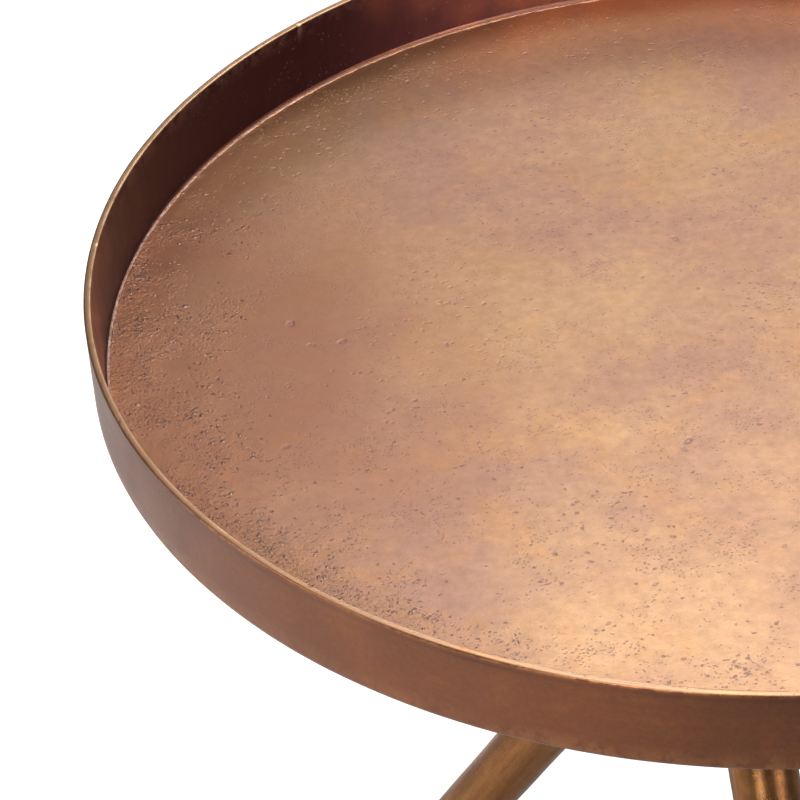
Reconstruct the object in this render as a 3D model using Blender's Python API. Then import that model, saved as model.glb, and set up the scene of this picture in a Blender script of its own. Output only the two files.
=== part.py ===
"""Tray table: a round cast tray bolted to a crossed tripod of three tapered legs.

Metres, +Z up. The origin is on the floor, under the centre of the tray, and the front leg runs towards -Y.
The three legs lean past each other like the poles of a tent: each one starts on the far side of the centre,
touches its two neighbours where it passes them, and ends on a foot circle just inside the tray's rim.
"""
import math

import bmesh
import bpy
from mathutils import Matrix, Vector
from mathutils.geometry import intersect_line_line

# Whole table
TABLE_HEIGHT = 0.450        # floor to the top of the tray's lip
TRAY_DIAMETER = 0.500       # over the lip
FOOT_CIRCLE_RADIUS = 0.220  # centre of the table to a leg's centre line, at floor level

# Cast tray
TRAY_HEIGHT = 0.0336        # outside of the rim, from its lower edge to the lip
TRAY_FLOOR = 0.004          # thickness of the floor
LIP_WIDTH = 0.0028          # flat top of the rim
LIP_EDGE = 0.0005           # rounding of the lip's two edges
WALL_FOOT = 0.0045          # thickness of the rim's wall where the floor's fillet starts
WALL_LEAN = 0.00125         # how far the rim leans out over its height
FLOOR_FILLET = 0.0020       # inside corner between wall and floor
RIM_ROUNDING = 0.0030       # outside corner between wall and underside
BOSS_COUNT = 6
BOSS_DIAMETER = 0.0180      # where it grows out of the tray
BOSS_TIP_DIAMETER = 0.0160
BOSS_HEIGHT = 0.0090
BOSS_HOLE_DEPTH = 0.0105

# Mounting plate between tray and legs
PLATE_DIAMETER = 0.150
PLATE_THICKNESS = 0.005
PLATE_CHAMFER = 0.0008
PLATE_SCREW_INSET = 0.0130  # from the plate's edge in to its screws, and to the bosses above them

# Legs
LEG_TOP_DIAMETER = 0.0300
LEG_FOOT_DIAMETER = 0.0210
CROSSING_DROP = 0.0757      # from the tray's underside down to where the legs pass each other
LEG_HEADINGS = {"front": -90.0, "back_left": 150.0, "back_right": 30.0}

# Fasteners
GAP = 0.0003                # free space between two pieces that touch
PLATE_SCREW = {"shank": 0.0060, "length": 0.0160, "head": 0.0105, "head_height": 0.0033, "key": 0.0040}
LEG_SCREW = {"shank": 0.0080, "length": 0.0290, "head": 0.0140, "head_height": 0.0044, "key": 0.0050}
GLIDE_SCREW = {"shank": 0.0040, "length": 0.0100, "head": 0.0080, "head_height": 0.0022, "key": 0.0025}
PLATE_WASHER = {"outside": 0.0120, "thickness": 0.0016}
LEG_WASHER = {"outside": 0.0160, "thickness": 0.0016}
DOWEL_DIAMETER = 0.0050     # stops a leg turning on its screw
DOWEL_IN_LEG = 0.0080
DOWEL_OFFSET = 0.0060       # from the middle of the leg's top, towards the table's rim
TIE_PIN_DIAMETER = 0.0050   # ties two legs together where they touch
TIE_PIN_LENGTH = 0.0160

# Foot glides
GLIDE_DIAMETER = 0.0190
GLIDE_THICKNESS = 0.0050
GLIDE_ROUNDING = 0.0008
GLIDE_RECESS_DIAMETER = 0.0090
GLIDE_RECESS_DEPTH = 0.0030

# Facets round a full turn
TRAY_SIDES = 96
PLATE_SIDES = 64
LEG_SIDES = 32
SMALL_SIDES = 16

# Places that follow from the sizes above
UNDERSIDE_Z = TABLE_HEIGHT - TRAY_HEIGHT
BOSS_TIP_Z = UNDERSIDE_Z - BOSS_HEIGHT
PLATE_TOP_Z = BOSS_TIP_Z - GAP
PLATE_BOTTOM_Z = PLATE_TOP_Z - PLATE_THICKNESS
LEG_TOP_Z = PLATE_BOTTOM_Z - GAP
LEG_FOOT_Z = GLIDE_THICKNESS + GAP
CROSSING_Z = UNDERSIDE_Z - CROSSING_DROP
LEG_SLOPE = FOOT_CIRCLE_RADIUS / CROSSING_Z   # outward run of a leg's centre line for each metre it drops
BOSS_CIRCLE_RADIUS = PLATE_DIAMETER / 2.0 - PLATE_SCREW_INSET


def clear_scene():
    for existing in list(bpy.data.objects):
        bpy.data.objects.remove(existing, do_unlink=True)


def finish_material(name, colour, roughness, metallic):
    material = bpy.data.materials.new(name)
    material.use_nodes = True
    shader = material.node_tree.nodes["Principled BSDF"]
    shader.inputs["Base Color"].default_value = (*colour, 1.0)
    shader.inputs["Roughness"].default_value = roughness
    shader.inputs["Metallic"].default_value = metallic
    return material


def add_object(name, bm, material=None):
    """Turns a bmesh into a linked object with smooth round sides and crisp edges."""
    bmesh.ops.recalc_face_normals(bm, faces=bm.faces)
    mesh = bpy.data.meshes.new(name)
    bm.to_mesh(mesh)
    bm.free()
    mesh.shade_smooth()
    mesh.set_sharp_from_angle(angle=math.radians(35.0))
    piece = bpy.data.objects.new(name, mesh)
    bpy.context.collection.objects.link(piece)
    if material:
        mesh.materials.append(material)
    return piece


def hide_cutter(cutter):
    cutter.hide_render = True
    cutter.display_type = "WIRE"


def combine(piece, cutter, operation):
    hide_cutter(cutter)
    boolean = piece.modifiers.new(f"{operation.lower()}_{cutter.name}", "BOOLEAN")
    boolean.operation = operation
    boolean.solver = "EXACT"
    boolean.object = cutter


def turned(profile, sides):
    """Spins a profile of (radius, height) points, which starts and ends on the axis, about Z."""
    bm = bmesh.new()
    points = [bm.verts.new((radius, 0.0, height)) for radius, height in profile]
    edges = [bm.edges.new(pair) for pair in zip(points, points[1:])]
    bmesh.ops.spin(bm, geom=points + edges, cent=(0.0, 0.0, 0.0), axis=(0.0, 0.0, 1.0),
                   angle=math.tau, steps=sides, use_merge=True)
    bmesh.ops.remove_doubles(bm, verts=bm.verts, dist=1e-7)
    return bm


def turned_ring(profile, sides):
    """Spins a closed profile that stays clear of the axis."""
    bm = bmesh.new()
    points = [bm.verts.new((radius, 0.0, height)) for radius, height in profile]
    edges = [bm.edges.new(pair) for pair in zip(points, points[1:] + points[:1])]
    bmesh.ops.spin(bm, geom=points + edges, cent=(0.0, 0.0, 0.0), axis=(0.0, 0.0, 1.0),
                   angle=math.tau, steps=sides, use_merge=True)
    return bm


def moved(bm, offset):
    bmesh.ops.translate(bm, verts=bm.verts, vec=offset)
    return bm


def add_pin(bm, start, end, radius, sides):
    """Adds a capped round bar from start to end to a bmesh."""
    span = end - start
    turn = span.to_track_quat("Z", "Y").to_matrix().to_4x4()
    place = Matrix.Translation((start + end) / 2.0) @ turn
    bmesh.ops.create_cone(bm, cap_ends=True, segments=sides, radius1=radius, radius2=radius,
                          depth=span.length, matrix=place)


def pins_cutter(name, pins, sides=SMALL_SIDES):
    """One cutter made of several bars, each given as (start, end, radius)."""
    bm = bmesh.new()
    for start, end, radius in pins:
        add_pin(bm, start, end, radius, sides)
    return add_object(name, bm)


def rounded_corner(centre, radius, from_degrees, to_degrees, steps):
    """Points of an arc in the profile's plane, both ends included."""
    points = []
    for step in range(steps + 1):
        angle = math.radians(from_degrees + (to_degrees - from_degrees) * step / steps)
        points.append((centre[0] + radius * math.cos(angle), centre[1] + radius * math.sin(angle)))
    return points


def circle_points(radius, count, first_degrees, height):
    points = []
    for index in range(count):
        angle = math.radians(first_degrees + 360.0 * index / count)
        points.append(Vector((radius * math.cos(angle), radius * math.sin(angle), height)))
    return points


# Where the fasteners and legs go

def outward(heading):
    return Vector((math.cos(math.radians(heading)), math.sin(math.radians(heading)), 0.0))


def sideways(heading):
    return Vector((-math.sin(math.radians(heading)), math.cos(math.radians(heading)), 0.0))


def leg_radius(z):
    """Radius of a leg across its own centre line, where that line is at height z."""
    share = (LEG_TOP_Z - z) / (LEG_TOP_Z - LEG_FOOT_Z)
    return (LEG_TOP_DIAMETER + (LEG_FOOT_DIAMETER - LEG_TOP_DIAMETER) * share) / 2.0


# Neighbouring centre lines run past each other at offset * sqrt(3) / sqrt(1 + slope^2 / 4).
# The offset makes that distance two leg radii and the gap, so the legs just touch.
LEG_OFFSET = (2.0 * leg_radius(CROSSING_Z) + GAP) * math.sqrt(1.0 + LEG_SLOPE ** 2 / 4.0) / math.sqrt(3.0)


def leg_centre(heading, z):
    """Point on a leg's centre line at height z."""
    run = LEG_SLOPE * (CROSSING_Z - z)
    return outward(heading) * run - sideways(heading) * LEG_OFFSET + Vector((0.0, 0.0, z))


def leg_screw_axis(heading):
    """The vertical screw meets the leg's centre line halfway down its thread."""
    seat = PLATE_TOP_Z + GAP + LEG_WASHER["thickness"] + GAP
    in_leg = LEG_TOP_Z - (seat - LEG_SCREW["length"])
    centre = leg_centre(heading, LEG_TOP_Z - in_leg / 2.0)
    return Vector((centre.x, centre.y, seat))


def dowel_axis(heading):
    return leg_centre(heading, LEG_TOP_Z) - outward(heading) * DOWEL_OFFSET


def glide_axis(heading):
    in_leg = GLIDE_SCREW["length"] - (GLIDE_THICKNESS - GLIDE_RECESS_DEPTH)
    centre = leg_centre(heading, LEG_FOOT_Z + in_leg / 2.0)
    return Vector((centre.x, centre.y, 0.0))


def tie_pin_ends(heading, next_heading):
    """The pin lies on the shortest line between two legs, half in each."""
    first = [leg_centre(heading, z) for z in (LEG_TOP_Z, LEG_FOOT_Z)]
    second = [leg_centre(next_heading, z) for z in (LEG_TOP_Z, LEG_FOOT_Z)]
    near, far = intersect_line_line(*first, *second)
    along = (far - near).normalized()
    touch = near + along * (leg_radius(near.z) + GAP / 2.0)
    half = along * TIE_PIN_LENGTH / 2.0
    return touch - half, touch + half


FIRST_LEG_TOP = leg_centre(LEG_HEADINGS["front"], LEG_TOP_Z)
FIRST_BOSS_DEGREES = math.degrees(math.atan2(FIRST_LEG_TOP.y, FIRST_LEG_TOP.x)) + 180.0 / BOSS_COUNT
BOSS_CENTRES = circle_points(BOSS_CIRCLE_RADIUS, BOSS_COUNT, FIRST_BOSS_DEGREES, 0.0)
NAMES = list(LEG_HEADINGS)
NEIGHBOURS = list(zip(NAMES, NAMES[1:] + NAMES[:1]))


# Tray

def tray_profile():
    """From the middle of the underside, out and up the rim, over the lip and back to the floor's middle."""
    radius = TRAY_DIAMETER / 2.0
    foot = radius - WALL_LEAN
    floor_z = UNDERSIDE_Z + TRAY_FLOOR
    outer_lean = math.degrees(math.atan2(WALL_LEAN, TRAY_HEIGHT))
    inner_top = radius - LIP_WIDTH
    inner_foot = foot - WALL_FOOT
    inner_lean = math.degrees(math.atan2(inner_top - inner_foot, TRAY_HEIGHT - TRAY_FLOOR))
    underside = (foot - RIM_ROUNDING, UNDERSIDE_Z + RIM_ROUNDING)
    lip_outer = (radius - LIP_EDGE, TABLE_HEIGHT - LIP_EDGE)
    lip_inner = (inner_top + LIP_EDGE, TABLE_HEIGHT - LIP_EDGE)
    corner = (inner_foot - FLOOR_FILLET, floor_z + FLOOR_FILLET)
    points = [(0.0, UNDERSIDE_Z)]
    points += rounded_corner(underside, RIM_ROUNDING, -90.0, -outer_lean, 3)
    points += rounded_corner(lip_outer, LIP_EDGE, -outer_lean, 90.0, 1)
    points += rounded_corner(lip_inner, LIP_EDGE, 90.0, 180.0 - inner_lean, 1)
    points += rounded_corner(corner, FLOOR_FILLET, -inner_lean, -90.0, 3)
    points.append((0.0, floor_z))
    return points


def build_tray(material):
    tray = add_object("tray", turned(tray_profile(), TRAY_SIDES), material)
    bosses = bmesh.new()
    for centre in BOSS_CENTRES:
        root = UNDERSIDE_Z + TRAY_FLOOR / 2.0
        place = Matrix.Translation(centre + Vector((0.0, 0.0, (root + BOSS_TIP_Z) / 2.0)))
        bmesh.ops.create_cone(bosses, cap_ends=True, segments=SMALL_SIDES, radius1=BOSS_TIP_DIAMETER / 2.0,
                              radius2=BOSS_DIAMETER / 2.0, depth=root - BOSS_TIP_Z, matrix=place)
    combine(tray, add_object("tray_bosses", bosses), "UNION")
    hole_radius = PLATE_SCREW["shank"] / 2.0 + GAP
    holes = []
    for centre in BOSS_CENTRES:
        mouth = centre + Vector((0.0, 0.0, BOSS_TIP_Z - GAP))
        end = centre + Vector((0.0, 0.0, BOSS_TIP_Z + BOSS_HOLE_DEPTH))
        holes.append((mouth, end, hole_radius))
    combine(tray, pins_cutter("tray_screw_holes", holes), "DIFFERENCE")


# Mounting plate

def build_plate(material):
    radius = PLATE_DIAMETER / 2.0
    profile = [(0.0, PLATE_BOTTOM_Z), (radius - PLATE_CHAMFER, PLATE_BOTTOM_Z),
               (radius, PLATE_BOTTOM_Z + PLATE_CHAMFER), (radius, PLATE_TOP_Z - PLATE_CHAMFER),
               (radius - PLATE_CHAMFER, PLATE_TOP_Z), (0.0, PLATE_TOP_Z)]
    plate = add_object("mounting_plate", turned(profile, PLATE_SIDES), material)
    low = Vector((0.0, 0.0, PLATE_BOTTOM_Z - GAP))
    high = Vector((0.0, 0.0, PLATE_TOP_Z + GAP))
    holes = [(centre + low, centre + high, PLATE_SCREW["shank"] / 2.0 + GAP) for centre in BOSS_CENTRES]
    for heading in LEG_HEADINGS.values():
        for axis, diameter in ((leg_screw_axis(heading), LEG_SCREW["shank"]),
                               (dowel_axis(heading), DOWEL_DIAMETER)):
            flat = Vector((axis.x, axis.y, 0.0))
            holes.append((flat + low, flat + high, diameter / 2.0 + GAP))
    combine(plate, pins_cutter("plate_holes", holes), "DIFFERENCE")


# Legs

def build_leg(name, material):
    """A tapered round bar, cut level under the plate and over its glide."""
    heading = LEG_HEADINGS[name]
    spare = LEG_TOP_DIAMETER
    high_z = LEG_TOP_Z + spare
    low_z = LEG_FOOT_Z - spare
    high = leg_centre(heading, high_z)
    low = leg_centre(heading, low_z)
    turn = (high - low).to_track_quat("Z", "Y").to_matrix().to_4x4()
    bm = bmesh.new()
    bmesh.ops.create_cone(bm, cap_ends=True, segments=LEG_SIDES, radius1=leg_radius(low_z),
                          radius2=leg_radius(high_z), depth=(high - low).length,
                          matrix=Matrix.Translation((high + low) / 2.0) @ turn)
    for level, direction in ((LEG_TOP_Z, 1.0), (LEG_FOOT_Z, -1.0)):
        cut = bmesh.ops.bisect_plane(bm, geom=bm.verts[:] + bm.edges[:] + bm.faces[:],
                                     plane_co=(0.0, 0.0, level), plane_no=(0.0, 0.0, direction),
                                     clear_outer=True)
        edges = [part for part in cut["geom_cut"] if isinstance(part, bmesh.types.BMEdge)]
        bmesh.ops.edgeloop_fill(bm, edges=edges)
    leg = add_object(f"leg_{name}", bm, material)

    screw = leg_screw_axis(heading)
    dowel = dowel_axis(heading)
    glide = glide_axis(heading)
    above = LEG_TOP_Z + GAP
    screw_end = screw.z - LEG_SCREW["length"] - GAP
    glide_end = GLIDE_RECESS_DEPTH + GLIDE_SCREW["length"]
    holes = [
        (Vector((screw.x, screw.y, screw_end)), Vector((screw.x, screw.y, above)), LEG_SCREW["shank"] / 2.0 + GAP),
        (Vector((dowel.x, dowel.y, LEG_TOP_Z - DOWEL_IN_LEG - GAP)), Vector((dowel.x, dowel.y, above)),
         DOWEL_DIAMETER / 2.0 + GAP),
        (Vector((glide.x, glide.y, LEG_FOOT_Z - GAP)), Vector((glide.x, glide.y, glide_end)),
         GLIDE_SCREW["shank"] / 2.0 + GAP),
    ]
    for pair in NEIGHBOURS:
        if name in pair:
            start, end = tie_pin_ends(LEG_HEADINGS[pair[0]], LEG_HEADINGS[pair[1]])
            reach = (end - start).normalized() * GAP
            holes.append((start - reach, end + reach, TIE_PIN_DIAMETER / 2.0 + GAP))
    combine(leg, pins_cutter(f"leg_{name}_holes", holes), "DIFFERENCE")


# Fasteners

def build_screw(name, sizes, seat, points_up, material):
    """A button-head socket screw. Its head's flat underside is at seat and its shank runs away from it."""
    shank = sizes["shank"] / 2.0
    head = sizes["head"] / 2.0
    height = sizes["head_height"]
    point = shank * 0.25
    dome = [(head, -height * 0.25), (head * 0.92, -height * 0.62), (head * 0.70, -height)]
    profile = [(0.0, sizes["length"]), (shank - point, sizes["length"]), (shank, sizes["length"] - point),
               (shank, 0.0), (head, 0.0), *dome, (0.0, -height)]
    bm = turned(profile, SMALL_SIDES)
    key = bmesh.new()
    key_radius = sizes["key"] / math.sqrt(3.0)
    key_depth = height * 0.55
    bmesh.ops.create_cone(key, cap_ends=True, segments=6, radius1=key_radius, radius2=key_radius,
                          depth=key_depth * 2.0, matrix=Matrix.Translation((0.0, 0.0, -height)))
    for part in (bm, key):
        if not points_up:
            bmesh.ops.rotate(part, verts=part.verts, cent=(0.0, 0.0, 0.0),
                             matrix=Matrix.Rotation(math.pi, 3, "X"))
        moved(part, seat)
    screw = add_object(name, bm, material)
    combine(screw, add_object(f"{name}_key", key), "DIFFERENCE")


def build_washer(name, sizes, bore, seat, material):
    """A flat ring whose lower face is at seat."""
    outside = sizes["outside"] / 2.0
    inside = bore / 2.0 + GAP
    profile = [(inside, 0.0), (outside, 0.0), (outside, sizes["thickness"]), (inside, sizes["thickness"])]
    add_object(name, moved(turned_ring(profile, SMALL_SIDES), seat), material)


def build_pin(name, start, end, diameter, material):
    bm = bmesh.new()
    add_pin(bm, start, end, diameter / 2.0, SMALL_SIDES)
    add_object(name, bm, material)


def build_glide(name, heading, material):
    """A round pad with a counterbore for its screw."""
    radius = GLIDE_DIAMETER / 2.0
    recess = GLIDE_RECESS_DIAMETER / 2.0
    bore = GLIDE_SCREW["shank"] / 2.0 + GAP
    profile = [(recess, 0.0), (radius - GLIDE_ROUNDING, 0.0), (radius, GLIDE_ROUNDING),
               (radius, GLIDE_THICKNESS), (bore, GLIDE_THICKNESS), (bore, GLIDE_RECESS_DEPTH),
               (recess, GLIDE_RECESS_DEPTH)]
    add_object(name, moved(turned_ring(profile, SMALL_SIDES), glide_axis(heading)), material)


def main():
    clear_scene()
    tray_brass = finish_material("tray_antique_brass", (0.42, 0.22, 0.115), 0.42, 1.0)
    leg_brass = finish_material("leg_antique_brass", (0.36, 0.22, 0.10), 0.38, 1.0)
    plate_steel = finish_material("plate_steel", (0.10, 0.085, 0.075), 0.55, 1.0)
    screw_steel = finish_material("screw_steel", (0.55, 0.54, 0.52), 0.35, 1.0)
    glide_rubber = finish_material("glide_rubber", (0.03, 0.03, 0.03), 0.8, 0.0)

    build_tray(tray_brass)
    build_plate(plate_steel)

    washer_z = PLATE_BOTTOM_Z - GAP - PLATE_WASHER["thickness"]
    for number, centre in enumerate(BOSS_CENTRES, start=1):
        washer_seat = centre + Vector((0.0, 0.0, washer_z))
        build_washer(f"plate_washer_{number}", PLATE_WASHER, PLATE_SCREW["shank"], washer_seat, screw_steel)
        screw_seat = centre + Vector((0.0, 0.0, washer_z - GAP))
        build_screw(f"plate_screw_{number}", PLATE_SCREW, screw_seat, True, screw_steel)

    for name, heading in LEG_HEADINGS.items():
        build_leg(name, leg_brass)
        screw_seat = leg_screw_axis(heading)
        washer_seat = Vector((screw_seat.x, screw_seat.y, PLATE_TOP_Z + GAP))
        build_washer(f"leg_washer_{name}", LEG_WASHER, LEG_SCREW["shank"], washer_seat, screw_steel)
        build_screw(f"leg_screw_{name}", LEG_SCREW, screw_seat, False, screw_steel)
        dowel = dowel_axis(heading)
        dowel_end = Vector((dowel.x, dowel.y, LEG_TOP_Z - DOWEL_IN_LEG))
        dowel_head = Vector((dowel.x, dowel.y, PLATE_TOP_Z))
        build_pin(f"leg_dowel_{name}", dowel_end, dowel_head, DOWEL_DIAMETER, screw_steel)
        build_glide(f"foot_glide_{name}", heading, glide_rubber)
        glide_seat = glide_axis(heading) + Vector((0.0, 0.0, GLIDE_RECESS_DEPTH - GAP))
        build_screw(f"glide_screw_{name}", GLIDE_SCREW, glide_seat, True, screw_steel)

    for first, second in NEIGHBOURS:
        start, end = tie_pin_ends(LEG_HEADINGS[first], LEG_HEADINGS[second])
        build_pin(f"tie_pin_{first}_to_{second}", start, end, TIE_PIN_DIAMETER, screw_steel)


main()
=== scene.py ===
"""Looks of the brass tray table: cast tray, tapered legs and small hardware, in a soft pale studio."""
import math
import random

import bmesh
import bpy
from mathutils import Matrix, Vector, kdtree, noise
from mathutils.geometry import intersect_line_line


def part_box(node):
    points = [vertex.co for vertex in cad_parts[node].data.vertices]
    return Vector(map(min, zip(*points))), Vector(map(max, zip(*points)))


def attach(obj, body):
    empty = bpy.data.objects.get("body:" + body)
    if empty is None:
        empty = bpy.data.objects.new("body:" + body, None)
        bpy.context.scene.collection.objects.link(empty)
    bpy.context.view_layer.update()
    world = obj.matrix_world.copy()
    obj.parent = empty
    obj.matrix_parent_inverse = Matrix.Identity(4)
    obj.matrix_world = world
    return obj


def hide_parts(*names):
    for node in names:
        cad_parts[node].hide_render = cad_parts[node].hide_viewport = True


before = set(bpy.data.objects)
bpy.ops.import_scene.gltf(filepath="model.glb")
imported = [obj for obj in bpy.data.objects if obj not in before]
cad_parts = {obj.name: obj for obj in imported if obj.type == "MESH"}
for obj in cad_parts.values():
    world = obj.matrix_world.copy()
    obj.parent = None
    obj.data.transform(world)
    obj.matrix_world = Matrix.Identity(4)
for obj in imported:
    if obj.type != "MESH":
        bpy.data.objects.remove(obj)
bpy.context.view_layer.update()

# Tray, as in the construction
TRAY_LOW, TRAY_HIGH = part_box("tray")
RADIUS = TRAY_HIGH.x
LIP_Z = TRAY_HIGH.z
RIM_HEIGHT = 0.0336
FLOOR_THICKNESS = 0.004
UNDERSIDE_Z = LIP_Z - RIM_HEIGHT
FLOOR_Z = UNDERSIDE_Z + FLOOR_THICKNESS
LIP_WIDTH = 0.0028
LIP_INNER_EDGE = 0.0005
LIP_OUTER_EDGE = 0.0008
WALL_LEAN = 0.00125
WALL_FOOT = 0.0045
FLOOR_FILLET = 0.0020
RIM_ROUNDING = 0.0030
FLOOR_RADIUS = RADIUS - WALL_LEAN - WALL_FOOT - FLOOR_FILLET
BOSS_TIP_Z = TRAY_LOW.z
BOSS_RADIUS = 0.0090
BOSS_TIP_RADIUS = 0.0080
BOSS_ROOT_FILLET = 0.0018
BOSS_CHAMFER = 0.0005

# Legs, as in the construction
LEG_HEADINGS = {"front": -90.0, "back_left": 150.0, "back_right": 30.0}
LEG_FOOT_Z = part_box("leg_front")[0].z
LEG_TOP_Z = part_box("leg_front")[1].z
LEG_TOP_RADIUS = 0.0150
LEG_FOOT_RADIUS = 0.0105
LEG_END_EDGE = 0.0006
FOOT_CIRCLE_RADIUS = 0.220
CROSSING_DROP = 0.0757
CROSSING_Z = UNDERSIDE_Z - CROSSING_DROP
LEG_SLOPE = FOOT_CIRCLE_RADIUS / CROSSING_Z
GAP = 0.0003

# Fasteners: how many of each, and the sizes that their boxes don't give
PLATE_SCREWS = [f"plate_screw_{number}" for number in range(1, 7)]
PLATE_SCREW = {"shank": 0.0060, "head": 0.0105, "head_height": 0.0033, "key": 0.0040}
LEG_SCREW = {"shank": 0.0080, "head": 0.0140, "head_height": 0.0044, "key": 0.0050}
GLIDE_SCREW = {"shank": 0.0040, "head": 0.0080, "head_height": 0.0022, "key": 0.0025}
DOWEL_DIAMETER = 0.0050
TIE_PIN = {"diameter": 0.0050, "length": 0.0160}
PLATE_EDGE = 0.0008
WASHER_EDGE = 0.00025
PAD_EDGE = 0.0008
PAD_TOP_EDGE = 0.0004
PAD_RECESS = {"radius": 0.0045, "depth": 0.0030, "edge": 0.0003}

# View
VIEW_AZIMUTH = -12.335
VIEW_ELEVATION = 35.745
VIEW_ROLL = -2.674
VIEW_DISTANCE = 1.5771
VIEW_AIM = Vector((-0.15006, -0.04693, LIP_Z))
LENS = 202.5


# ---------------------------------------------------------------- node helpers

def feed(tree, node, inputs):
    """Gives each named or numbered input of a node a value or another socket."""
    for socket, value in inputs.items():
        if isinstance(value, bpy.types.NodeSocket):
            tree.links.new(value, node.inputs[socket])
        else:
            node.inputs[socket].default_value = value


def add_node(tree, kind, inputs=None, **settings):
    made = tree.nodes.new(kind)
    for name, value in settings.items():
        setattr(made, name, value)
    feed(tree, made, inputs or {})
    return made


def maths(tree, operation, first, second=0.0, third=0.0, clamp=False):
    made = add_node(tree, "ShaderNodeMath", {0: first, 1: second, 2: third},
                    operation=operation, use_clamp=clamp)
    return made.outputs[0]


def vector_maths(tree, operation, first, second):
    made = add_node(tree, "ShaderNodeVectorMath", {0: first, 1: second}, operation=operation)
    return made.outputs["Value" if operation in ("LENGTH", "DOT_PRODUCT") else "Vector"]


def scaled(tree, vector, factor):
    made = add_node(tree, "ShaderNodeVectorMath", {0: vector, "Scale": factor}, operation="SCALE")
    return made.outputs["Vector"]


def remap(tree, value, low, high, to_low=0.0, to_high=1.0):
    made = add_node(tree, "ShaderNodeMapRange",
                    {"Value": value, "From Min": low, "From Max": high, "To Min": to_low, "To Max": to_high},
                    interpolation_type="SMOOTHSTEP")
    return made.outputs["Result"]


def blend_colours(tree, share, first, second):
    made = add_node(tree, "ShaderNodeMix", {0: share, 6: first, 7: second}, data_type="RGBA")
    return made.outputs[2]


def noise_at(tree, vector, scale, detail=4.0, roughness=0.55, distortion=0.0):
    made = add_node(tree, "ShaderNodeTexNoise", {"Vector": vector, "Scale": scale, "Detail": detail,
                                                 "Roughness": roughness, "Distortion": distortion})
    return made.outputs["Fac"]


def painted(tree, name):
    """A value painted on the mesh's vertices."""
    return add_node(tree, "ShaderNodeAttribute", attribute_name=name).outputs["Fac"]


def new_group(name, inputs, outputs):
    """A node group with named inputs and outputs. Returns its tree, its input node and its output node."""
    tree = bpy.data.node_groups.new(name, "ShaderNodeTree")
    for label, kind, value in inputs:
        socket = tree.interface.new_socket(label, in_out="INPUT", socket_type=kind)
        if value is not None:
            socket.default_value = value
    for label, kind in outputs:
        tree.interface.new_socket(label, in_out="OUTPUT", socket_type=kind)
    return tree, tree.nodes.new("NodeGroupInput"), tree.nodes.new("NodeGroupOutput")


def place_group(tree, group, inputs):
    made = add_node(tree, "ShaderNodeGroup", node_tree=group)
    feed(tree, made, inputs)
    return made.outputs


# ---------------------------------------------------------------- shared effects

def make_casting_pits():
    """Small open pores left by the sand mould. They sit in loose clusters."""
    tree, given, result = new_group(
        "casting_pits",
        [("Vector", "NodeSocketVector", None), ("Pit Size", "NodeSocketFloat", 0.001),
         ("Cluster Size", "NodeSocketFloat", 0.03), ("Share", "NodeSocketFloat", 0.3)],
        [("Pits", "NodeSocketFloat")])
    vector = given.outputs["Vector"]
    pit_scale = maths(tree, "DIVIDE", 1.0, given.outputs["Pit Size"])
    warp = add_node(tree, "ShaderNodeTexNoise", {"Vector": vector, "Scale": pit_scale, "Detail": 2.0})
    shift = vector_maths(tree, "SUBTRACT", warp.outputs["Color"], (0.5, 0.5, 0.5))
    bend = maths(tree, "MULTIPLY", given.outputs["Pit Size"], 1.2)
    bent = vector_maths(tree, "ADD", vector, scaled(tree, shift, bend))
    cells = add_node(tree, "ShaderNodeTexVoronoi", {"Vector": bent, "Scale": pit_scale})
    chance = add_node(tree, "ShaderNodeSeparateColor", {0: cells.outputs["Color"]}).outputs[0]
    cluster_scale = maths(tree, "DIVIDE", 1.0, given.outputs["Cluster Size"])
    cluster = remap(tree, noise_at(tree, vector, cluster_scale, 6.0, 0.68), 0.44, 0.66)
    chosen = maths(tree, "LESS_THAN", chance, maths(tree, "MULTIPLY", cluster, given.outputs["Share"]))
    hole = remap(tree, cells.outputs["Distance"], 0.52, 0.10)
    tree.links.new(maths(tree, "MULTIPLY", hole, chosen), result.inputs["Pits"])
    return tree


def make_patina_clouds():
    """Cloudy tarnish: a ground colour that drifts to a second and, in blotches, to a third."""
    tree, given, result = new_group(
        "patina_clouds",
        [("Vector", "NodeSocketVector", None), ("Ground", "NodeSocketColor", (0.5, 0.3, 0.2, 1.0)),
         ("Cloud", "NodeSocketColor", (0.4, 0.25, 0.2, 1.0)),
         ("Blotch", "NodeSocketColor", (0.5, 0.3, 0.1, 1.0)),
         ("Cloud Size", "NodeSocketFloat", 0.12), ("Blotch Amount", "NodeSocketFloat", 0.5),
         ("Mottle Size", "NodeSocketFloat", 0.003), ("Mottle Amount", "NodeSocketFloat", 0.1)],
        [("Color", "NodeSocketColor"), ("Cloud", "NodeSocketFloat")])
    vector = given.outputs["Vector"]
    scale = maths(tree, "DIVIDE", 1.0, given.outputs["Cloud Size"])
    cloud = remap(tree, noise_at(tree, vector, scale, 6.0, 0.60), 0.34, 0.66)
    moved = vector_maths(tree, "ADD", vector, (3.1, 1.7, 0.4))
    finer = maths(tree, "MULTIPLY", scale, 2.7)
    blotch = remap(tree, noise_at(tree, moved, finer, 8.0, 0.70, 0.5), 0.46, 0.70)
    blotch = maths(tree, "MULTIPLY", blotch, given.outputs["Blotch Amount"])
    drifted = blend_colours(tree, cloud, given.outputs["Ground"], given.outputs["Cloud"])
    coloured = blend_colours(tree, blotch, drifted, given.outputs["Blotch"])
    fine = noise_at(tree, vector, maths(tree, "DIVIDE", 1.0, given.outputs["Mottle Size"]), 5.0, 0.72)
    fine = maths(tree, "MULTIPLY", maths(tree, "SUBTRACT", fine, 0.5), given.outputs["Mottle Amount"])
    shade = maths(tree, "MULTIPLY_ADD", fine, 4.0, 1.0)
    tree.links.new(scaled(tree, coloured, shade), result.inputs["Color"])
    tree.links.new(cloud, result.inputs["Cloud"])
    return tree


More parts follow.
